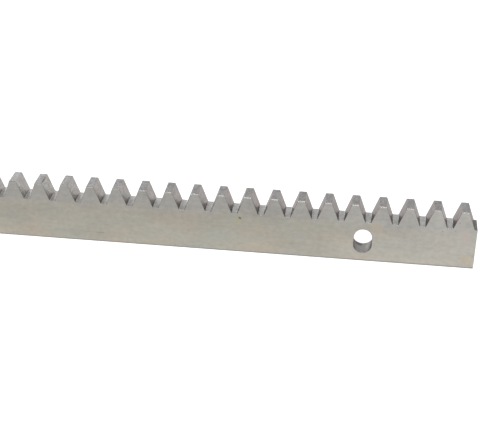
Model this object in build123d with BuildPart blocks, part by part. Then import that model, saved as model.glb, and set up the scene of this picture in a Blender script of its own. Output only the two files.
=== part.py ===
from build123d import *
from math import pi, radians, tan
import os

# Sliding gate gear rack: one flat steel bar with straight teeth cut along its upper edge
# and upright bolt slots through its thickness.
# +X runs along the bar, +Y through its thickness and +Z from the back edge up to the teeth.
# The origin is under the middle of the bar, on its back edge.

# Flat bar that the rack is cut from, with rolled round corners
bar_height = 30.0
bar_thickness = 10.0
edge_radius = 0.5

# Straight rack teeth of the standard proportions
module = 4.0
pressure_angle = 20.0
tooth_count = 80
root_radius = 0.4
tooth_pitch = pi * module
addendum = module
dedendum = 1.25 * module
tooth_depth = addendum + dedendum
root_level = bar_height - tooth_depth
flank_slope = tan(radians(pressure_angle))

# The bar is sawn in the middle of a tooth gap at each end, so that racks set end to end keep the pitch
bar_length = tooth_count * tooth_pitch

# Upright bolt slots, a little above the middle of the solid bar below the teeth
slot_count = 3
slot_width = 8.5
slot_length = 12.5
slot_end_distance = 52.25
slot_spacing = (bar_length - 2 * slot_end_distance) / (slot_count - 1)
slot_level = root_level / 2 + 0.35

# How far each cutting prism runs past the bar's surface
cut_overrun = 1.0


def half_gap(height):
    """Half the width of a tooth gap at a height above the root."""
    return tooth_pitch / 4 - dedendum * flank_slope + height * flank_slope


# One tooth gap in side view, from its middle on the root line up past the tooth tips
gap_height = tooth_depth + cut_overrun
with BuildSketch() as tooth_gap:
    with BuildLine():
        Polyline(
            (-half_gap(0), 0),
            (half_gap(0), 0),
            (half_gap(gap_height), gap_height),
            (-half_gap(gap_height), gap_height),
            close=True,
        )
    make_face()
    fillet(tooth_gap.vertices().group_by(Axis.Y)[0], root_radius)

with BuildPart() as rack_bar:
    # Plain bar
    with BuildSketch(Plane.YZ):
        with Locations((0, bar_height / 2)):
            RectangleRounded(bar_thickness, bar_height, edge_radius)
    extrude(amount=bar_length / 2, both=True)

    # Tooth gaps, with half a gap at each end
    with BuildSketch(Plane.XZ):
        with Locations((0, root_level)):
            with GridLocations(tooth_pitch, 0, tooth_count + 1, 1):
                add(tooth_gap.sketch)
    extrude(amount=bar_thickness / 2 + cut_overrun, both=True, mode=Mode.SUBTRACT)

    # Bolt slots
    with BuildSketch(Plane.XZ):
        with Locations((0, slot_level)):
            with GridLocations(slot_spacing, 0, slot_count, 1):
                SlotOverall(slot_length, slot_width, rotation=90)
    extrude(amount=bar_thickness / 2 + cut_overrun, both=True, mode=Mode.SUBTRACT)

rack_bar.part.label = "rack_bar"

os.makedirs("parts", exist_ok=True)
export_step(rack_bar.part, "parts/rack_bar.step")
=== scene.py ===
"""Zinc-plated gear rack of a sliding gate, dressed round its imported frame.

Sizes in the classes are millimetres along the frame's own axes: +X runs along the bar, +Y through its
thickness and +Z from its back edge up to the teeth. Blender gets them in metres.
"""

import logging
from collections.abc import Iterator
from dataclasses import dataclass, field
from enum import Enum
from math import cos, pi, radians, sin, sqrt, tan

import bmesh
import bpy
from mathutils import Matrix, Vector


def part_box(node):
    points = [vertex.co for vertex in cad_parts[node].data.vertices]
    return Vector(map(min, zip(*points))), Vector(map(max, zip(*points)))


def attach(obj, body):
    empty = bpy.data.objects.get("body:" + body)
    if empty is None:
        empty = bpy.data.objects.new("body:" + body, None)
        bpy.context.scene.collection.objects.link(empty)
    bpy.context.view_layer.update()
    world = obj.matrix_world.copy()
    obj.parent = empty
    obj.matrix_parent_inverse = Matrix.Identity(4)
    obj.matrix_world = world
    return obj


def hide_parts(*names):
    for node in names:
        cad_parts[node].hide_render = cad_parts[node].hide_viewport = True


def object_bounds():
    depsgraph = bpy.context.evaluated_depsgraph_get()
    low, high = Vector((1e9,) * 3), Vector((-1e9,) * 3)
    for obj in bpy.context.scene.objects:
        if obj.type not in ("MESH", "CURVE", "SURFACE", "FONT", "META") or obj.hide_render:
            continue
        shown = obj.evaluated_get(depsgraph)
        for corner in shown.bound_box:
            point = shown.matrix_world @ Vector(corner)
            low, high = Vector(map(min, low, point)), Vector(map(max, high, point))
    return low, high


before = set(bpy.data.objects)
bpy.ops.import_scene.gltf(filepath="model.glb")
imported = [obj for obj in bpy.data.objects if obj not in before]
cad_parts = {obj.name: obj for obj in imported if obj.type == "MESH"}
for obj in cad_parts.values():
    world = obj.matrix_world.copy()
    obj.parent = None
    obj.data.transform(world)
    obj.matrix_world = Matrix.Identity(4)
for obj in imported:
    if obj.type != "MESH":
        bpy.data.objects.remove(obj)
cad_box = [list(corner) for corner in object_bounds()]

MM = 0.001
PHOTO_WIDTH = 500
log = logging.getLogger("gear_rack")

# The bar's ends and its two broad faces, in millimetres, for the marks that lie on them
LEFT, RIGHT = cad_box[0][0] / MM, cad_box[1][0] / MM
FRONT, BACK = cad_box[0][1] / MM, cad_box[1][1] / MM

# How rough the noise of every pattern is, and the values that it mostly keeps between
NOISE_ROUGHNESS = 0.6
NOISE_LOW, NOISE_HIGH = 0.3, 0.7

Point2 = tuple[float, float]
Point3 = tuple[float, float, float]

# Socket numbers of the colour form of the Mix node, whose socket names repeat
MIX_FACTOR, MIX_A, MIX_B, MIX_RESULT = 0, 6, 7, 2


def linear(hex_colour: str) -> tuple[float, float, float, float]:
    """Turn an sRGB hex colour to linear light.

    Args:
        hex_colour: colour as "#RRGGBB".

    Returns:
        Linear red, green, blue and an alpha of 1.
    """
    parts = [int(hex_colour[i : i + 2], 16) / 255 for i in (1, 3, 5)]
    # The sRGB curve, which is straight near black
    red, green, blue = [p / 12.92 if p <= 0.04045 else ((p + 0.055) / 1.055) ** 2.4 for p in parts]
    return red, green, blue, 1.0


def add(tree: bpy.types.NodeTree, kind: str, inputs: dict | None = None, **settings) -> bpy.types.Node:
    """Add a shader node with its settings and links.

    Args:
        tree: node tree that gets the node.
        kind: the node's type name without its ShaderNode prefix.
        inputs: for each input, by name or number, a value or the output socket that feeds it.
        settings: the node's own properties.

    Returns:
        The new node.
    """
    made = tree.nodes.new("ShaderNode" + kind)
    for name, value in settings.items():
        setattr(made, name, value)
    for name, value in (inputs or {}).items():
        if isinstance(value, bpy.types.NodeSocket):
            tree.links.new(value, made.inputs[name])
        else:
            made.inputs[name].default_value = value
    return made


def empty_tree(owner: bpy.types.Material | bpy.types.World) -> bpy.types.NodeTree:
    """Switch a new material's or world's nodes on and take out those that it comes with.

    Args:
        owner: the material or world.

    Returns:
        Its empty node tree.
    """
    owner.use_nodes = True
    owner.node_tree.nodes.clear()
    return owner.node_tree


class Surface(Enum):
    """The surfaces of the bar, by how each was made. The value tags the mesh's faces."""

    BROAD_FACE = 0
    BACK_EDGE = 1
    BACK_CORNER = 2
    TOOTH_CORNER = 3
    TIP_LAND = 4
    FLANK = 5
    ROOT_FILLET = 6
    ROOT_LAND = 7
    SLOT_WALL = 8
    SAWN_END = 9
    BROKEN_EDGE = 10
    SLOT_EDGE = 11


@dataclass(frozen=True)
class Pattern:
    """Random pattern fixed to the steel, such as patches, mottling or tool lines.

    Attributes:
        size: how far the pattern is drawn out along each axis.
        swing: how far it lightens and darkens the tone.
        detail: how much finer structure it carries.
    """

    size: Point3
    swing: float
    detail: float = 2.0

    def draw(self, tree: bpy.types.NodeTree, place: bpy.types.NodeSocket) -> bpy.types.NodeSocket:
        """Draw the pattern.

        Args:
            tree: the material's node tree.
            place: position on the object, in metres.

        Returns:
            The pattern's value, from 0 to 1 and mostly near a half.
        """
        scale = [1 / (length * MM) for length in self.size]
        stretched = add(tree, "Mapping", {"Vector": place, "Scale": scale}).outputs["Vector"]
        noise = add(tree, "TexNoise", {
            "Vector": stretched,
            "Scale": 1.0,
            "Detail": self.detail,
            "Roughness": NOISE_ROUGHNESS,
        }).outputs["Fac"]
        spread = add(tree, "MapRange", {"Value": noise, "From Min": NOISE_LOW, "From Max": NOISE_HIGH})
        return spread.outputs["Result"]


@dataclass(frozen=True)
class Mark:
    """One stain, nick or scratch at its own place on the steel.

    Attributes:
        start: one end of the mark's middle line.
        end: its other end, which is the start again for a round mark.
        radius: half its width.
        feather: how far its edge fades out beyond that.
        tone: hex tone of the mark.
        strength: how much of the tone shows.
    """

    start: Point3
    end: Point3
    radius: float
    feather: float
    tone: str
    strength: float

    def lay(
        self, tree: bpy.types.NodeTree, place: bpy.types.NodeSocket, colour: bpy.types.NodeSocket
    ) -> bpy.types.NodeSocket:
        """Lay the mark over a colour.

        Args:
            tree: the material's node tree.
            place: position on the object, in metres.
            colour: the colour under the mark.

        Returns:
            The marked colour.
        """
        start = Vector(self.start) * MM
        along = Vector(self.end) * MM - start
        away = add(tree, "VectorMath", {0: place, 1: start}, operation="SUBTRACT").outputs["Vector"]
        if along.length > 0:
            whole = along / along.length_squared
            steps = add(tree, "VectorMath", {0: away, 1: whole}, operation="DOT_PRODUCT").outputs["Value"]
            share = add(tree, "Clamp", {"Value": steps}).outputs["Result"]
            nearest = add(tree, "VectorMath", {0: along, "Scale": share}, operation="SCALE").outputs["Vector"]
            away = add(tree, "VectorMath", {0: away, 1: nearest}, operation="SUBTRACT").outputs["Vector"]
        distance = add(tree, "VectorMath", {0: away}, operation="LENGTH").outputs["Value"]
        cover = add(tree, "MapRange", {
            "Value": distance,
            "From Min": (self.radius + self.feather) * MM,
            "From Max": self.radius * MM,
            "To Max": self.strength,
        }, interpolation_type="SMOOTHSTEP")
        marked = add(tree, "Mix", {
            MIX_FACTOR: cover.outputs["Result"],
            MIX_A: colour,
            MIX_B: linear(self.tone),
        }, data_type="RGBA")
        return marked.outputs[MIX_RESULT]


@dataclass(frozen=True)
class ZincFinish:
    """Clear passivated zinc plating on steel: a dull warm grey metal whose tone drifts in patches.

    Attributes:
        name: the material's name.
        cool: hex tone of the greyer patches.
        warm: hex tone of the warmer patches.
        patches: the patches of the two tones.
        working: mottling and lines that show how the steel was worked.
        relief: height of the working.
        roughness: lowest and highest roughness, from rubbed spots to dull ones.
        grazing: hex tint at a grazing angle, darker where the surface is torn or pitted.
        marks: single marks on this surface.
    """

    name: str
    cool: str
    warm: str
    patches: Pattern
    working: tuple[Pattern, ...]
    relief: float
    roughness: Point2
    grazing: str = "#FFFFFF"
    marks: tuple[Mark, ...] = ()

    def material(self) -> bpy.types.Material:
        """Build the material, with zinc's metallic gloss over its tone and its working.

        Returns:
            The material.
        """
        made = bpy.data.materials.new(self.name)
        tree = empty_tree(made)
        place = add(tree, "TexCoord").outputs["Object"]
        worked = self.worked(tree, place)
        colour = self.tone(tree, place, worked)
        for mark in self.marks:
            colour = mark.lay(tree, place, colour)
        # Dark spots are the dull ones: they scatter the light that the rubbed spots mirror
        dullness = add(tree, "MapRange", {
            "Value": worked,
            "To Min": self.roughness[1],
            "To Max": self.roughness[0],
        })
        bumps = add(tree, "Bump", {"Height": worked, "Distance": self.relief * MM})
        shader = add(tree, "BsdfPrincipled", {
            "Base Color": colour,
            "Metallic": 1.0,
            "Roughness": dullness.outputs["Result"],
            "Specular Tint": linear(self.grazing),
            "Normal": bumps.outputs["Normal"],
        })
        add(tree, "OutputMaterial", {"Surface": shader.outputs["BSDF"]})
        return made

    def worked(self, tree: bpy.types.NodeTree, place: bpy.types.NodeSocket) -> bpy.types.NodeSocket:
        """Add up the patterns of the working, each by its own swing.

        Args:
            tree: the material's node tree.
            place: position on the object, in metres.

        Returns:
            The working, from 0 to 1.
        """
        total = 0.0
        whole = sum(pattern.swing for pattern in self.working)
        for pattern in self.working:
            shares = {0: pattern.draw(tree, place), 1: pattern.swing / whole, 2: total}
            total = add(tree, "Math", shares, operation="MULTIPLY_ADD").outputs["Value"]
        return total

    def tone(
        self, tree: bpy.types.NodeTree, place: bpy.types.NodeSocket, worked: bpy.types.NodeSocket
    ) -> bpy.types.NodeSocket:
        """Mix the two tones in patches and let the working lighten and darken them.

        Args:
            tree: the material's node tree.
            place: position on the object, in metres.
            worked: the working, from 0 to 1.

        Returns:
            The colour of the plating.
        """
        mixed = add(tree, "Mix", {
            MIX_FACTOR: self.patches.draw(tree, place),
            MIX_A: linear(self.cool),
            MIX_B: linear(self.warm),
        }, data_type="RGBA").outputs[MIX_RESULT]
        swing = sum(pattern.swing for pattern in self.working)
        light = add(tree, "MapRange", {"Value": worked, "To Min": 1 - swing, "To Max": 1 + swing})
        toned = add(tree, "VectorMath", {0: mixed, "Scale": light.outputs["Result"]}, operation="SCALE")
        return toned.outputs["Vector"]


@dataclass(frozen=True)
class BroadFaceFinish(ZincFinish):
    """Zinc plating of the broad faces, barer on the teeth, with painted light that brightens the back edge
    and ends.

    Attributes:
        bare: hex tone of the teeth, without the film that warms the web, and a little darker as painted
            reflection.
        bare_swing: how far the working lightens and darkens that tone.
        film_limit: heights between which the film thins out.
        film_drift: how far those heights wander along the bar.
        back_edge_painted_light: how much brighter the back edge is than the roots, as painted reflection of
            the lit table.
        end_painted_light: how much brighter it is at the bar's ends, as painted light.
        end_bareness: how much of the film is missing there.
        end_reach: how far from the middle of the bar that starts, and where it is complete.
        speck_spacing: spacing of the places where a dark speck may sit.
        speck_radius: radius of the largest speck.
        speck_core: share of a speck's radius inside which it is even.
        speck_share: share of those places that have one.
        speck_tone: hex tone of a speck.
        speck_strength: how much of that tone shows.
    """

    # The teeth's tone is a little darker than the web's, and that darkening is painted reflection
    bare: str = "#8E8C88"
    bare_swing: float = 0.16
    film_limit: Point2 = (17.0, 24.0)
    film_drift: float = 4.0
    # Painted reflection of the lit table, which brightens the plating towards the back edge
    back_edge_painted_light: float = 0.18
    # Painted light, which brightens the plating towards the bar's ends
    end_painted_light: float = 0.19
    end_bareness: float = 0.5
    end_reach: Point2 = (400.0, 490.0)
    speck_spacing: float = 7.0
    speck_radius: float = 0.35
    speck_core: float = 0.4
    speck_share: float = 0.12
    speck_tone: str = "#3E3A34"
    speck_strength: float = 0.35

    def tone(
        self, tree: bpy.types.NodeTree, place: bpy.types.NodeSocket, worked: bpy.types.NodeSocket
    ) -> bpy.types.NodeSocket:
        """Lay the warm film over the web, brighten the back edge and ends with painted light, and scatter
        dark specks.

        Args:
            tree: the material's node tree.
            place: position on the object, in metres.
            worked: the working, from 0 to 1.

        Returns:
            The colour of the plating.
        """
        filmed = super().tone(tree, place, worked)
        axes = add(tree, "SeparateXYZ", {"Vector": place}).outputs
        from_middle = add(tree, "Math", {0: axes["X"]}, operation="ABSOLUTE").outputs["Value"]
        near_end = add(tree, "MapRange", {
            "Value": from_middle,
            "From Min": self.end_reach[0] * MM,
            "From Max": self.end_reach[1] * MM,
        }, interpolation_type="SMOOTHSTEP").outputs["Result"]
        # The drift is added to the height, so half of it is added to the limits as well
        drift = {0: self.patches.draw(tree, place), 1: self.film_drift * MM, 2: axes["Z"]}
        thin = add(tree, "MapRange", {
            "Value": add(tree, "Math", drift, operation="MULTIPLY_ADD").outputs["Value"],
            "From Min": (self.film_limit[0] + self.film_drift / 2) * MM,
            "From Max": (self.film_limit[1] + self.film_drift / 2) * MM,
        }).outputs["Result"]
        thinner = {0: near_end, 1: self.end_bareness, 2: thin}
        thin = add(tree, "Math", thinner, operation="MULTIPLY_ADD", use_clamp=True).outputs["Value"]
        light = add(tree, "MapRange", {
            "Value": worked,
            "To Min": 1 - self.bare_swing,
            "To Max": 1 + self.bare_swing,
        }).outputs["Result"]
        bare = add(tree, "VectorMath", {0: linear(self.bare)[:3], "Scale": light}, operation="SCALE")
        faded = add(tree, "Mix", {
            MIX_FACTOR: thin,
            MIX_A: filmed,
            MIX_B: bare.outputs["Vector"],
        }, data_type="RGBA").outputs[MIX_RESULT]
        # Painted reflection of the lit table: the plating brightens from the film's lower limit down to the
        # back edge
        low = add(tree, "MapRange", {
            "Value": axes["Z"],
            "From Min": self.film_limit[0] * MM,
            "From Max": 0.0,
            "To Min": 1.0,
            "To Max": 1 + self.back_edge_painted_light,
        }).outputs["Result"]
        # Painted light: the plating brightens towards the bar's ends
        ends = add(tree, "MapRange", {"Value": near_end, "To Min": 1.0, "To Max": 1 + self.end_painted_light})
        light = add(tree, "Math", {0: low, 1: ends.outputs["Result"]}, operation="MULTIPLY").outputs["Value"]
        lit = add(tree, "VectorMath", {0: faded, "Scale": light}, operation="SCALE").outputs["Vector"]
        return self.specks(tree, place, lit)

    def specks(
        self, tree: bpy.types.NodeTree, place: bpy.types.NodeSocket, colour: bpy.types.NodeSocket
    ) -> bpy.types.NodeSocket:
        """Scatter a few small dark specks over a colour.

        Args:
            tree: the material's node tree.
            place: position on the object, in metres.
            colour: the colour under the specks.

        Returns:
            The colour with the specks.
        """
        cells = add(tree, "TexVoronoi", {"Vector": place, "Scale": 1 / (self.speck_spacing * MM)})
        size = self.speck_radius / self.speck_spacing
        near = add(tree, "MapRange", {
            "Value": cells.outputs["Distance"],
            "From Min": size,
            "From Max": self.speck_core * size,
            "To Max": self.speck_strength,
        }).outputs["Result"]
        # Each cell has a colour of its own, and only those with a strong red have a speck
        chosen = add(tree, "SeparateColor", {"Color": cells.outputs["Color"]}).outputs["Red"]
        few = add(tree, "Math", {0: chosen, 1: 1 - self.speck_share}, operation="GREATER_THAN")
        speck = add(tree, "Math", {0: near, 1: few.outputs["Value"]}, operation="MULTIPLY")
        marked = add(tree, "Mix", {
            MIX_FACTOR: speck.outputs["Value"],
            MIX_A: colour,
            MIX_B: linear(self.speck_tone),
        }, data_type="RGBA")
        return marked.outputs[MIX_RESULT]


def pit(x: float, z: float, tone: str, strength: float) -> Mark:
    """Return a small round pit in the front face."""
    return Mark((x, FRONT, z), (x, FRONT, z), 0.1, 0.5, tone, strength)


# Marks on the broad face that is towards the camera
FACE_MARKS = (
    # Yellowish run below a dark pit, under a tooth gap
    Mark((391.8, FRONT, 18.2), (390.6, FRONT, 16.2), 0.6, 2.2, "#98957C", 0.5),
    Mark((392.0, FRONT, 18.9), (392.4, FRONT, 18.6), 0.15, 0.6, "#4A473C", 0.8),
    # Short scratches along the bar near the back edge
    Mark((322.6, FRONT, 5.0), (325.8, FRONT, 5.2), 0.05, 0.4, "#77736A", 0.45),
    Mark((326.4, FRONT, 9.8), (328.2, FRONT, 9.8), 0.05, 0.5, "#88847A", 0.4),
    # Pinkish patches beside the right slot and at the sawn end
    Mark((455.0, FRONT, 19.6), (457.4, FRONT, 18.4), 0.4, 3.0, "#A89A88", 0.45),
    Mark((497.0, FRONT, 19.0), (497.5, FRONT, 15.0), 0.5, 3.0, "#A69A95", 0.5),
    Mark((498.0, FRONT, 5.0), (500.5, FRONT, 4.5), 0.5, 2.2, "#B0A088", 0.5),
    # Pits near the roots of the last teeth
    pit(486.8, 19.3, "#77746C", 0.6),
    pit(492.6, 19.8, "#77746C", 0.5),
    pit(494.2, 24.2, "#6F6C66", 0.6),
)
# Greyer line along both lower corners: painted shade where the bar stands on the table
LOW_CORNER_PAINTED_SHADE = tuple(
    Mark((LEFT, face, 0.3), (RIGHT, face, 0.3), 0.35, 0.6, "#939391", 0.8) for face in (FRONT, BACK)
)
# Dark line across the tip of one tooth, for a knock that the mesh does not have
TIP_MARKS = (Mark((297.3, 1.4, 29.9), (296.9, -3.4, 29.9), 0.1, 0.5, "#5A524D", 0.75),)
# Dark patches over the last flank and root before the sawn end: painted dark reflection
END_PAINTED_DARK_REFLECTION = (
    Mark((502.2, FRONT, 21.5), (502.2, BACK, 21.5), 1.5, 3.0, "#67625E", 0.8),
    Mark((499.2, FRONT, 27.5), (499.2, BACK, 27.5), 2.0, 3.0, "#67625E", 0.7),
)

# Cold-rolled face: fine lines drawn out along the bar under soft zinc, with a warm olive film.
# The lines are drawn about three times as coarse as real ones, so that they show.
ROLLED_FACE = BroadFaceFinish(
    name="zinc_plated_rolled_steel",
    cool="#929189",
    warm="#979085",
    patches=Pattern((22.0, 14.0, 9.0), 1.0, detail=1.0),
    working=(
        Pattern((2.6, 2.6, 2.0), 0.06, detail=3.0),
        Pattern((14.0, 3.0, 1.4), 0.02),
        Pattern((30.0, 30.0, 12.0), 0.05),
    ),
    relief=0.02,
    roughness=(0.28, 0.42),
    # The lower-corner line is painted shade
    marks=(*FACE_MARKS, *LOW_CORNER_PAINTED_SHADE),
)
# Rolled round corner along the tooth tips: the plating is rubbed to a neutral sheen
RUBBED_CORNER = ZincFinish(
    name="zinc_plated_rubbed_steel",
    cool="#A6A5A2",
    warm="#ADABA6",
    patches=Pattern((6.0, 4.0, 4.0), 1.0),
    working=(Pattern((1.6, 1.6, 1.6), 0.06), Pattern((9.0, 9.0, 9.0), 0.12)),
    relief=0.01,
    roughness=(0.16, 0.26),
)
# Lower rolled corner: dull, with a dark grey tone that is painted shade where the bar stands on the table
PAINTED_SHADE_CORNER = ZincFinish(
    name="zinc_plated_painted_shade_steel",
    cool="#5B5B5A",
    warm="#5F5E5C",
    patches=Pattern((8.0, 4.0, 4.0), 1.0),
    working=(Pattern((2.4, 1.6, 1.6), 0.06, detail=3.0), Pattern((12.0, 9.0, 9.0), 0.06)),
    relief=0.02,
    roughness=(0.34, 0.46),
)
# Edge broken by tumbling after the cutter: matt, so that no lamp glints in it
TUMBLED_EDGE = ZincFinish(
    name="zinc_plated_tumbled_steel",
    cool="#7A7A78",
    warm="#807E7B",
    patches=Pattern((3.0, 3.0, 3.0), 1.0),
    working=(Pattern((1.5, 1.5, 1.5), 0.08, detail=3.0),),
    relief=0.02,
    roughness=(0.48, 0.6),
)
# Rolled edge left on the tooth tips: coarser, darker and pitted
TIP_STEEL = ZincFinish(
    name="zinc_plated_edge_steel",
    cool="#989797",
    warm="#A09E9D",
    patches=Pattern((3.0, 3.0, 3.0), 1.0),
    working=(Pattern((0.9, 1.1, 0.9), 0.28, detail=3.0), Pattern((2.5, 4.0, 2.5), 0.14)),
    relief=0.04,
    roughness=(0.36, 0.54),
    marks=TIP_MARKS,
)
# Milled tooth flank: fine cutter lines across the bar, a little pinker than the rolled face
MILLED_FLANK = ZincFinish(
    name="zinc_plated_milled_steel",
    cool="#9E9D9A",
    warm="#A4A19E",
    patches=Pattern((5.0, 7.0, 4.0), 1.0),
    working=(Pattern((0.6, 14.0, 0.6), 0.08), Pattern((2.0, 2.0, 2.0), 0.18, detail=3.0)),
    relief=0.015,
    roughness=(0.24, 0.34),
    grazing="#BFB9BA",
    # The end patches on the flank are painted dark reflection
    marks=(*TIP_MARKS, *END_PAINTED_DARK_REFLECTION),
)
# Milled root between the teeth: brighter and more neutral than the flanks, with cloudy plating
MILLED_ROOT = ZincFinish(
    name="zinc_plated_root_steel",
    cool="#B1B1AF",
    warm="#B5B2AF",
    patches=Pattern((5.0, 7.0, 4.0), 1.0),
    working=(Pattern((0.6, 14.0, 0.6), 0.06), Pattern((1.8, 2.2, 1.8), 0.18, detail=3.0)),
    relief=0.015,
    roughness=(0.36, 0.48),
    # The end patches on the root are painted dark reflection
    marks=END_PAINTED_DARK_REFLECTION,
)
# Punched slot wall: dull torn steel with streaks along the punch's travel
PUNCHED_WALL = ZincFinish(
    name="zinc_plated_punched_steel",
    cool="#A8A6A6",
    warm="#AEABA9",
    patches=Pattern((3.0, 3.0, 3.0), 1.0),
    working=(Pattern((0.7, 6.0, 0.7), 0.1), Pattern((1.5, 1.5, 1.5), 0.1, detail=3.0)),
    relief=0.03,
    roughness=(0.3, 0.42),
    grazing="#6E6C6D",
    # Torn spot at the back of the right slot
    marks=(Mark((448.2, 3.2, 4.4), (449.4, 3.2, 4.0), 0.5, 1.3, "#5A5856", 0.6),),
)
# Edge that the punch drew in round a slot: darker than the face
PUNCHED_EDGE = ZincFinish(
    name="zinc_plated_sheared_steel",
    cool="#7A7978",
    warm="#807E7C",
    patches=Pattern((3.0, 3.0, 3.0), 1.0),
    working=(Pattern((1.5, 1.5, 1.5), 0.1, detail=3.0),),
    relief=0.02,
    roughness=(0.28, 0.38),
)
# Sawn end: close upright lines left by the saw blade
SAWN_END = ZincFinish(
    name="zinc_plated_sawn_steel",
    cool="#A3A29D",
    warm="#ADA9A1",
    patches=Pattern((5.0, 5.0, 5.0), 1.0),
    working=(Pattern((2.0, 0.6, 16.0), 0.08), Pattern((1.5, 1.5, 1.5), 0.04, detail=3.0)),
    relief=0.04,
    roughness=(0.3, 0.44),
)

FINISHES: dict[Surface, ZincFinish] = {
    Surface.BROAD_FACE: ROLLED_FACE,
    Surface.BACK_EDGE: ROLLED_FACE,
    Surface.TOOTH_CORNER: RUBBED_CORNER,
    # The lower corner's dark tone is painted shade
    Surface.BACK_CORNER: PAINTED_SHADE_CORNER,
    Surface.TIP_LAND: TIP_STEEL,
    Surface.FLANK: MILLED_FLANK,
    Surface.ROOT_FILLET: MILLED_ROOT,
    Surface.ROOT_LAND: MILLED_ROOT,
    Surface.SLOT_WALL: PUNCHED_WALL,
    Surface.SAWN_END: SAWN_END,
    Surface.BROKEN_EDGE: TUMBLED_EDGE,
    Surface.SLOT_EDGE: PUNCHED_EDGE,
}

# What the broken edges along each surface of a cut look like. The cutter left the root's own edge clean.
EDGES: dict[Surface, Surface] = {
    Surface.FLANK: Surface.BROKEN_EDGE,
    Surface.ROOT_FILLET: Surface.BROAD_FACE,
    Surface.ROOT_LAND: Surface.BROAD_FACE,
    Surface.SLOT_WALL: Surface.SLOT_EDGE,
}


@dataclass(frozen=True)
class OpalTable:
    """Lit opal acrylic table top: matt white that glows a little, so that shadows on it stay faint.

    Attributes:
        name: the material's name.
        white: hex tone of the acrylic.
        glow: brightness of its own light.
    """

    name: str = "opal_acrylic"
    white: str = "#B0B0AF"
    glow: float = 0.78

    def material(self) -> bpy.types.Material:
        """Build the material from a matt white and an even glow.

        Returns:
            The material.
        """
        made = bpy.data.materials.new(self.name)
        tree = empty_tree(made)
        shader = add(tree, "BsdfPrincipled", {
            "Base Color": linear(self.white),
            "Roughness": 0.9,
            "Specular IOR Level": 0.0,
            "Emission Color": linear("#FFFFFF"),
            "Emission Strength": self.glow,
        })
        add(tree, "OutputMaterial", {"Surface": shader.outputs["BSDF"]})
        return made


def mirrored(points: list[Point3]) -> list[Point3]:
    """Return the points' mirror images in the middle plane of the bar's thickness."""
    return [(x, -y, z) for x, y, z in points]


class Skin:
    """Closed skin of a solid, sewn from faces that share their corners, each tagged with its surface."""

    def __init__(self) -> None:
        """Start with no faces."""
        self.mesh = bmesh.new()
        self.tag = self.mesh.faces.layers.int.new("surface")
        self.corners: dict[Point3, bmesh.types.BMVert] = {}

    def corner(self, point: Point3) -> bmesh.types.BMVert:
        """Find the one corner at a point, and make it if it is new.

        Args:
            point: the place, in millimetres.

        Returns:
            The corner.
        """
        # Points that differ by less than a tenth of a micron are one, and 0.0 takes the sign off a zero
        key = tuple(round(value, 4) + 0.0 for value in point)
        if key not in self.corners:
            self.corners[key] = self.mesh.verts.new(Vector(point) * MM)
        return self.corners[key]

    def face(self, points: list[Point3], surface: Surface) -> None:
        """Add one face, unless its points run together to an edge.

        Args:
            points: its corners in order, in millimetres.
            surface: the surface that it is part of.
        """
        corners = list(dict.fromkeys(self.corner(point) for point in points))
        if len(corners) > 2:
            self.mesh.faces.new(corners)[self.tag] = surface.value

    def faces_both_sides(self, points: list[Point3], surface: Surface) -> None:
        """Add a face and its mirror image in the middle plane of the thickness."""
        self.face(points, surface)
        self.face(mirrored(points), surface)

    def finish(self, name: str, finishes: dict[Surface, ZincFinish]) -> bpy.types.Object:
        """Turn the skin to an object whose faces carry their finishes.

        Args:
            name: the object's name.
            finishes: the finish of each surface.

        Returns:
            The dressed object, in the scene.
        """
        bmesh.ops.recalc_face_normals(self.mesh, faces=self.mesh.faces)
        used = list(dict.fromkeys(finishes.values()))
        for face in self.mesh.faces:
            face.smooth = True
            face.material_index = used.index(finishes[Surface(face[self.tag])])
        # Each corner leans to its largest faces, so flat faces stay flat and only the narrow strips
        # between them are shaded round
        normals = []
        for corner in self.mesh.verts:
            pull = sum((face.normal * face.calc_area() for face in corner.link_faces), Vector())
            normals.append(pull.normalized())
        made = bpy.data.meshes.new(name)
        self.mesh.to_mesh(made)
        self.mesh.free()
        made.normals_split_custom_set_from_vertices(normals)
        for finish in used:
            made.materials.append(finish.material())
        piece = bpy.data.objects.new(name, made)
        bpy.context.scene.collection.objects.link(piece)
        return piece


@dataclass(frozen=True)
class CutPoint:
    """Point on the outline of a cut through the bar, in side view.

    Attributes:
        x: place along the bar.
        z: height above the back edge.
        into: direction into the steel.
        broken: width of the broken edge there.
    """

    x: float
    z: float
    into: Point2
    broken: float

    def deeper(self, share: float) -> Point2:
        """Return the point that lies this share of the broken edge deeper in the steel."""
        reach = share * self.broken
        return self.x + reach * self.into[0], self.z + reach * self.into[1]


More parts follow.
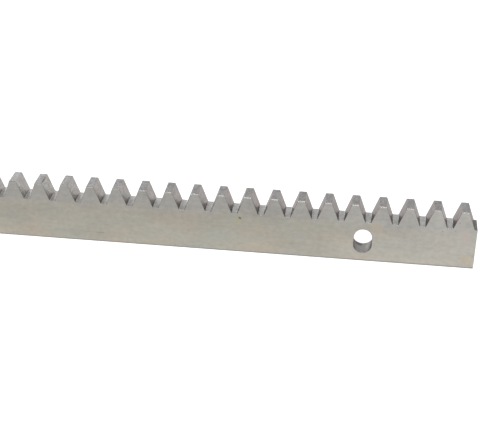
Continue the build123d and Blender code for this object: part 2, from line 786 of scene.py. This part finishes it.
@dataclass
class RackBar:
    """The rack: one flat bar with straight teeth along its upper edge and upright bolt slots.

    Attributes:
        node: the frame's node that the bar stands for, which also gives its overall size.
        module: size of the teeth, and their height above the pitch line.
        dedendum_share: their depth below the pitch line, in modules.
        pressure_angle: lean of the flanks from upright, in degrees.
        tooth_count: teeth along the bar, with half a gap past the last one at each end.
        corner_radius: radius of the bar's rolled corners.
        root_radius: radius between a flank and the root.
        tip_radius: radius between a flank and the tooth's tip.
        slot_count: bolt slots along the bar.
        slot_width: width of a slot.
        slot_length: height of a slot, over its round ends.
        slot_end_distance: from the middle of the first slot to the end of the bar.
        slot_rise: how far the slots' middles lie above the middle of the web.
        slot_flare: how far the punch tore a slot wider, on each side, by the time it came out at the back.
        slot_edge: width of the round edge that the punch drew in at a slot.
        broken_edge: width of the broken edge along the teeth and the sawn ends.
        arc_steps: faces round a corner of the bar.
    """

    node: str = "rack_bar"
    module: float = 4.0
    dedendum_share: float = 1.25
    pressure_angle: float = 20.0
    tooth_count: int = 80
    corner_radius: float = 0.5
    root_radius: float = 0.4
    tip_radius: float = 0.15
    slot_count: int = 3
    slot_width: float = 8.5
    slot_length: float = 12.5
    slot_end_distance: float = 52.25
    slot_rise: float = 0.35
    slot_flare: float = 0.8
    slot_edge: float = 0.2
    broken_edge: float = 0.14
    arc_steps: int = 6
    skin: Skin = field(default_factory=Skin)

    def __post_init__(self) -> None:
        """Work out the bar's other sizes from the frame and the teeth."""
        low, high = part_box(self.node)
        self.left, self.right = low[0] / MM, high[0] / MM
        self.half_thickness = high[1] / MM
        self.top = high[2] / MM
        self.pitch = pi * self.module
        self.dedendum = self.dedendum_share * self.module
        self.depth = self.module + self.dedendum
        self.root = self.top - self.depth
        self.lean = radians(self.pressure_angle)
        # A broken edge turns twice by an eighth of a turn. Its three lines, from the cut's wall out to the
        # broad face, lie these shares of its width deeper in the steel and short of the face.
        middle = 1 - cos(pi / 4)
        self.break_lines = ((0.0, 1.0), (middle, middle), (1.0, 0.0))

    def half_gap(self, height: float) -> float:
        """Return half the width of a tooth gap at a height above the root."""
        return self.pitch / 4 + (height - self.dedendum) * tan(self.lean)

    def half_width(self, height: float) -> float:
        """Return half the bar's thickness at a height above its back edge, less in its rolled corners."""
        into = max(height - (self.top - self.corner_radius), self.corner_radius - height, 0.0)
        return self.half_thickness - self.corner_radius + sqrt(max(self.corner_radius**2 - into**2, 0.0))

    def gap_middle(self, gap: int) -> float:
        """Return the middle of a tooth gap, or the start of the broken edge in the half gap at an end."""
        inward = (gap == 0) - (gap == self.tooth_count)
        return self.left + gap * self.pitch + inward * self.broken_edge

    def gap_side(self, gap: int, side: int) -> list[CutPoint]:
        """Trace one side of a tooth gap from the middle of its root up over the tooth's tip corner.

        Args:
            gap: number of the gap, from 0 at the left end.
            side: 1 for the side towards +X, -1 for the other.

        Returns:
            The root's middle, the root fillet, the flank with the heights where the rolled corner narrows
            the tooth, and the tip corner.
        """
        steps, fillet, tip = self.arc_steps, self.root_radius, self.tip_radius
        centre = self.left + gap * self.pitch
        # Each point as its distance from the gap's middle, its height above the root, its direction into
        # the steel and its share of the broken edge
        trace = [(side * (self.gap_middle(gap) - centre), 0.0, -pi / 2, 1.0)]
        across = self.half_gap(0) - fillet * tan(pi / 4 - self.lean / 2)
        for step in range(steps + 1):
            turn = -pi / 2 + step / steps * (pi / 2 - self.lean)
            trace.append((across + fillet * cos(turn), fillet * (1 + sin(turn)), turn, 1.0))
        shoulder = self.depth - self.corner_radius
        for step in range(steps):
            up = shoulder + self.corner_radius * sin(step / steps * pi / 2)
            if up < self.depth - tip:
                trace.append((self.half_gap(up), up, -self.lean, 1.0))
        across = self.half_gap(self.depth) + tip * tan(pi / 4 - self.lean / 2)
        for step in range(steps + 1):
            turn = -self.lean - step / steps * (pi / 2 - self.lean)
            up = self.depth - tip * (1 + sin(turn))
            trace.append((across - tip * cos(turn), up, turn, 1 - step / steps))
        return [
            CutPoint(
                centre + side * out,
                self.root + up,
                (side * cos(turn), sin(turn)),
                share * self.broken_edge,
            )
            for out, up, turn, share in trace
        ]

    def gap_surfaces(self, points: int) -> list[Surface]:
        """Name the surface of each step of a gap's side, which has this many points."""
        fillet = [Surface.ROOT_FILLET] * self.arc_steps
        return [Surface.ROOT_LAND, *fillet, *[Surface.FLANK] * (points - self.arc_steps - 2)]

    def rim(self, point: CutPoint, line: int) -> Point3:
        """Place a cut's point on one line of its broken edge, at the front.

        Args:
            point: the point on the cut's outline.
            line: number of the line, from the cut's wall out to the face.

        Returns:
            The place on that line.
        """
        deeper, short = self.break_lines[line]
        x, z = point.deeper(deeper)
        return x, short * point.broken - self.half_width(z), z

    def on_face(self, outline: list[CutPoint]) -> list[Point3]:
        """Return a cut's outline as it shows on the front face, where its broken edge ends."""
        return [self.rim(point, -1) for point in outline]

    def lay_cut(self, front: list[CutPoint], back: list[CutPoint], surfaces: list[Surface]) -> None:
        """Lay the wall of a cut across the bar's thickness, with its broken edges at both faces.

        Args:
            front: the cut's outline at the front face.
            back: its outline at the back face, point for point.
            surfaces: the surface of each step along the outline.
        """
        lines = range(len(self.break_lines))
        rims = [[self.rim(point, line) for point in front] for line in reversed(lines)]
        rims += [mirrored([self.rim(point, line) for point in back]) for line in lines]
        # The strips before and after the wall's own are the broken edges
        wall_strip = len(self.break_lines) - 1
        for strip, (near, far) in enumerate(zip(rims, rims[1:])):
            for step, surface in enumerate(surfaces):
                ring = [near[step], near[step + 1], far[step + 1], far[step]]
                self.skin.face(ring, surface if strip == wall_strip else EDGES[surface])

    def close_tooth(self, rising: list[CutPoint], falling: list[CutPoint]) -> None:
        """Close a tooth between its two flanks with its tip, rolled corners and side faces.

        Args:
            rising: the side of the gap on the tooth's left, from root to tip.
            falling: the side of the gap on its right, from root to tip.
        """
        left, right = self.on_face(rising), self.on_face(falling)
        tip = [left[-1], right[-1]]
        self.skin.face(tip + mirrored(tip)[::-1], Surface.TIP_LAND)
        # The point after the root's middle and its fillet is where the rolled corner starts
        shoulder = self.arc_steps + 2
        for step in range(shoulder, len(rising) - 1):
            ring = [left[step], right[step], right[step + 1], left[step + 1]]
            self.skin.faces_both_sides(ring, Surface.TOOTH_CORNER)
        outline = left[1 : shoulder + 1] + right[shoulder:0:-1]
        self.skin.faces_both_sides(outline, Surface.BROAD_FACE)

    def slot_side(self, centre: float, side: int, flare: float) -> list[CutPoint]:
        """Trace one half of a bolt slot from its lowest point to its highest.

        Args:
            centre: where the slot is along the bar.
            side: 1 for the half towards +X, -1 for the other.
            flare: how much wider the slot is here on each side than at the front.

        Returns:
            The points of the half.
        """
        middle = self.root / 2 + self.slot_rise
        radius = self.slot_width / 2 + flare
        rise = (self.slot_length - self.slot_width) / 2
        steps = 2 * self.arc_steps
        turns = [step / steps * pi / 2 for step in range(steps + 1)]
        trace = [(-rise, turn - pi / 2) for turn in turns] + [(rise, turn) for turn in turns]
        return [
            CutPoint(
                centre + side * radius * cos(turn),
                middle + up + radius * sin(turn),
                (side * cos(turn), sin(turn)),
                self.slot_edge,
            )
            for up, turn in trace
        ]

    def slot_centres(self) -> list[float]:
        """Space the slots evenly along the bar.

        Returns:
            The middle of each slot.
        """
        first = self.left + self.slot_end_distance
        spacing = (self.right - self.left - 2 * self.slot_end_distance) / (self.slot_count - 1)
        return [first + number * spacing for number in range(self.slot_count)]

    def web_blocks(self) -> Iterator[tuple[int, int, float | None]]:
        """Part the solid web into blocks between gap middles, with two blocks joined round each slot.

        Yields:
            First and last gap of a block, and the middle of the slot in it, if any.
        """
        slotted = {round((centre - self.left) / self.pitch) - 1: centre for centre in self.slot_centres()}
        gap = 0
        while gap < self.tooth_count:
            centre = slotted.get(gap)
            last = gap + (1 if centre is None else 2)
            yield gap, last, centre
            gap = last

    def build_web(self) -> None:
        """Build the solid part below the teeth, with the slots through it."""
        for first, last, centre in self.web_blocks():
            gaps = range(first, last + 1)
            lower = [(self.gap_middle(gap), -self.half_thickness, self.corner_radius) for gap in gaps]
            roots = []
            for gap in gaps:
                middle, left_foot = self.gap_side(gap, -1)[:2]
                right_foot = self.gap_side(gap, 1)[1]
                if gap > first:
                    roots.append(left_foot)
                roots.append(middle)
                if gap < last:
                    roots.append(right_foot)
            upper = self.on_face(roots)
            if centre is None:
                self.skin.faces_both_sides(lower + upper[::-1], Surface.BROAD_FACE)
            else:
                self.punch_slot(lower, upper, centre)
            for (x0, _, _), (x1, _, _) in zip(lower, lower[1:]):
                self.lay_back_edge(x0, x1)

    def punch_slot(self, lower: list[Point3], upper: list[Point3], centre: float) -> None:
        """Build a slot's wall and the two halves of the web round it, which meet above and below the slot.

        Args:
            lower: the lower edge of the block that the slot is in, from left to right.
            upper: its upper edge, from left to right.
            centre: where the slot is along the bar.
        """
        below = min(range(len(lower)), key=lambda i: abs(lower[i][0] - centre))
        above = min(range(len(upper)), key=lambda i: abs(upper[i][0] - centre))
        edges = {-1: lower[below::-1] + upper[: above + 1], 1: lower[below:] + upper[above:][::-1]}
        for side, edge in edges.items():
            front, back = self.slot_side(centre, side, 0.0), self.slot_side(centre, side, self.slot_flare)
            self.lay_cut(front, back, [Surface.SLOT_WALL] * (len(front) - 1))
            self.skin.face(edge + self.on_face(front)[::-1], Surface.BROAD_FACE)
            self.skin.face(mirrored(edge + self.on_face(back)[::-1]), Surface.BROAD_FACE)

    def corner_arc(self) -> list[tuple[Point2, Point2]]:
        """Trace a rolled corner at the back edge, from the front face to the bottom.

        Returns:
            Points in Y and Z, each with its direction into the steel.
        """
        radius = self.corner_radius
        centre = self.half_thickness - radius
        arc = []
        for step in range(self.arc_steps + 1):
            into = cos(step / self.arc_steps * pi / 2), sin(step / self.arc_steps * pi / 2)
            arc.append(((-centre - radius * into[0], radius * (1 - into[1])), into))
        return arc

    def lay_back_edge(self, x0: float, x1: float) -> None:
        """Build the back edge and its two rolled corners between two places along the bar."""
        arc = [place for place, _ in self.corner_arc()]
        for near, far in zip(arc, arc[1:]):
            strip = [(x0, *near), (x1, *near), (x1, *far), (x0, *far)]
            self.skin.faces_both_sides(strip, Surface.BACK_CORNER)
        edge = [(x0, *arc[-1]), (x1, *arc[-1])]
        self.skin.face(edge + mirrored(edge)[::-1], Surface.BACK_EDGE)

    def close_end(self, gap: int) -> None:
        """Build the sawn face in the half gap at one end of the bar, with its broken edges.

        Args:
            gap: number of the half gap.
        """
        outward = -1 if gap == 0 else 1
        root = self.gap_side(gap, -outward)[0]
        # The front half of the bar's section, from the root to the bottom, with the directions into the steel
        section = []
        for line, turn in enumerate((-pi / 2, -pi / 4, 0.0)):
            section.append((self.rim(root, line)[1:], (cos(turn), sin(turn))))
        section += self.corner_arc()
        rings = []
        for deeper, short in self.break_lines:
            x = root.x + outward * (1 - short) * self.broken_edge
            reach = deeper * self.broken_edge
            near = [(x, y + reach * into_y, z + reach * into_z) for (y, z), (into_y, into_z) in section]
            rings.append(near + mirrored(near)[::-1])
        for ring, next_ring in zip(rings, rings[1:]):
            for i in range(len(ring)):
                self.skin.face([ring[i - 1], ring[i], next_ring[i], next_ring[i - 1]], Surface.BROKEN_EDGE)
        self.skin.face(rings[-1], Surface.SAWN_END)

    def build(self) -> bpy.types.Object:
        """Build the whole bar, dress it and tie it to the frame.

        Returns:
            The finished piece.
        """
        for tooth in range(self.tooth_count):
            rising, falling = self.gap_side(tooth, 1), self.gap_side(tooth + 1, -1)
            for side in (rising, falling):
                self.lay_cut(side, side, self.gap_surfaces(len(side)))
            self.close_tooth(rising, falling)
        self.build_web()
        self.close_end(0)
        self.close_end(self.tooth_count)
        piece = self.skin.finish("toothed_bar", FINISHES)
        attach(piece, "root")
        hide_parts(self.node)
        return piece


@dataclass(frozen=True)
class Softbox:
    """Soft rectangular lamp.

    Attributes:
        name: the lamp's name.
        place: where it hangs, in metres.
        aim: the point that it faces, in metres.
        size: its width and height, in metres.
        brightness: how bright its face is beside the room's full white.
    """

    name: str
    place: Point3
    aim: Point3
    size: Point2
    brightness: float

    def hang(self) -> bpy.types.Object:
        """Hang the lamp.

        Returns:
            The lamp, in the scene.
        """
        data = bpy.data.lights.new(self.name, "AREA")
        data.shape = "RECTANGLE"
        data.size, data.size_y = self.size
        data.energy = self.brightness * pi * self.size[0] * self.size[1]
        lamp = bpy.data.objects.new(self.name, data)
        lamp.location = self.place
        lamp.rotation_euler = (Vector(self.aim) - Vector(self.place)).to_track_quat("-Z", "Y").to_euler()
        bpy.context.scene.collection.objects.link(lamp)
        return lamp


SOFTBOXES = (
    # High in front of the visible end: its mirror image is the bright line on the rolled tooth corners
    Softbox("front_softbox", (0.385, -0.55, 1.02), (0.385, 0.0, 0.0), (0.5, 0.45), 8.6),
    Softbox("end_softbox", (0.5, -0.55, 1.02), (0.5, 0.0, 0.0), (0.24, 0.45), 6.0),
    # Low behind the left: it lights the tips of the further teeth
    Softbox("back_softbox", (-0.55, 0.9, 0.63), (0.25, 0.0, 0.0), (0.8, 0.6), 3.0),
)


@dataclass
class Studio:
    """Lit white table under soft lamps, which stand for the even white of a product photograph.

    Attributes:
        table_size: side of the square table top, in metres.
        room_low: brightness of the white room up to where it darkens.
        room_high: its brightness from where it has darkened up to overhead.
        room_fade: where it darkens, by the height of a view of length one.
        softboxes: the lamps.
    """

    table_size: float = 8.0
    room_low: float = 0.9
    room_high: float = 0.55
    room_fade: Point2 = (0.5, 0.9)
    softboxes: tuple[Softbox, ...] = SOFTBOXES

    def table(self) -> bpy.types.Object:
        """Lay the table top under the bar's back edge.

        Returns:
            The table top.
        """
        made = bpy.data.meshes.new("table_top")
        half = self.table_size / 2
        corners = [(-half, -half, 0), (half, -half, 0), (half, half, 0), (-half, half, 0)]
        made.from_pydata(corners, [], [(0, 1, 2, 3)])
        made.materials.append(OpalTable().material())
        top = bpy.data.objects.new("table_top", made)
        bpy.context.scene.collection.objects.link(top)
        return top

    def white_room(self) -> None:
        """Surround the table with a white room, darker towards its ceiling."""
        world = bpy.data.worlds.new("white_room")
        tree = empty_tree(world)
        way = add(tree, "TexCoord").outputs["Generated"]
        height = add(tree, "SeparateXYZ", {"Vector": way}).outputs["Z"]
        brightness = add(tree, "MapRange", {
            "Value": height,
            "From Min": self.room_fade[0],
            "From Max": self.room_fade[1],
            "To Min": self.room_low,
            "To Max": self.room_high,
        }).outputs["Result"]
        light = add(tree, "Background", {"Color": linear("#FFFFFF"), "Strength": brightness})
        add(tree, "OutputWorld", {"Surface": light.outputs["Background"]})
        bpy.context.scene.world = world

    def build(self) -> list[bpy.types.Object]:
        """Set up the table, the room and the lamps.

        Returns:
            The table and the lamps.
        """
        table = self.table()
        self.white_room()
        return [table, *[softbox.hang() for softbox in self.softboxes]]


@dataclass
class PhotoCamera:
    """Camera that sees the rack's right end as the photograph does.

    Attributes:
        offset: its place from the foot of the rack's front face at the right end, in millimetres.
        heading: turn to the left of straight ahead along +Y, in degrees.
        dip: tilt below level, in degrees.
        roll: lean to the left, in degrees.
        focal_pixels: focal length in pixels of the photograph.
    """

    offset: Point3 = (-52.9, -442.3, 279.7)
    heading: float = 6.80
    dip: float = 30.38
    roll: float = 0.62
    focal_pixels: float = 1096.0

    def build(self) -> bpy.types.Object:
        """Place the camera and make it the scene's own.

        Returns:
            The camera.
        """
        low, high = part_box("rack_bar")
        foot = Vector((high[0], low[1], low[2]))
        data = bpy.data.cameras.new("photo_camera")
        data.lens = self.focal_pixels / PHOTO_WIDTH * data.sensor_width
        camera = bpy.data.objects.new("photo_camera", data)
        turn = Matrix.Rotation(radians(self.heading), 4, "Z")
        tilt = Matrix.Rotation(radians(90 - self.dip), 4, "X")
        lean = Matrix.Rotation(radians(self.roll), 4, "Z")
        camera.matrix_world = Matrix.Translation(foot + Vector(self.offset) * MM) @ turn @ tilt @ lean
        bpy.context.scene.collection.objects.link(camera)
        bpy.context.scene.camera = camera
        return camera


def main() -> None:
    """Build the rack, the studio and the camera, and report each piece."""
    logging.basicConfig(level=logging.INFO, format="%(name)s: %(message)s")
    bpy.context.scene.view_settings.view_transform = "Standard"
    bar = RackBar().build()
    log.info("%s: %d corners, %d faces", bar.name, len(bar.data.vertices), len(bar.data.polygons))
    for piece in (*Studio().build(), PhotoCamera().build()):
        log.info("%s: %s", piece.name, piece.type.lower())


if __name__ == "__main__":
    main()
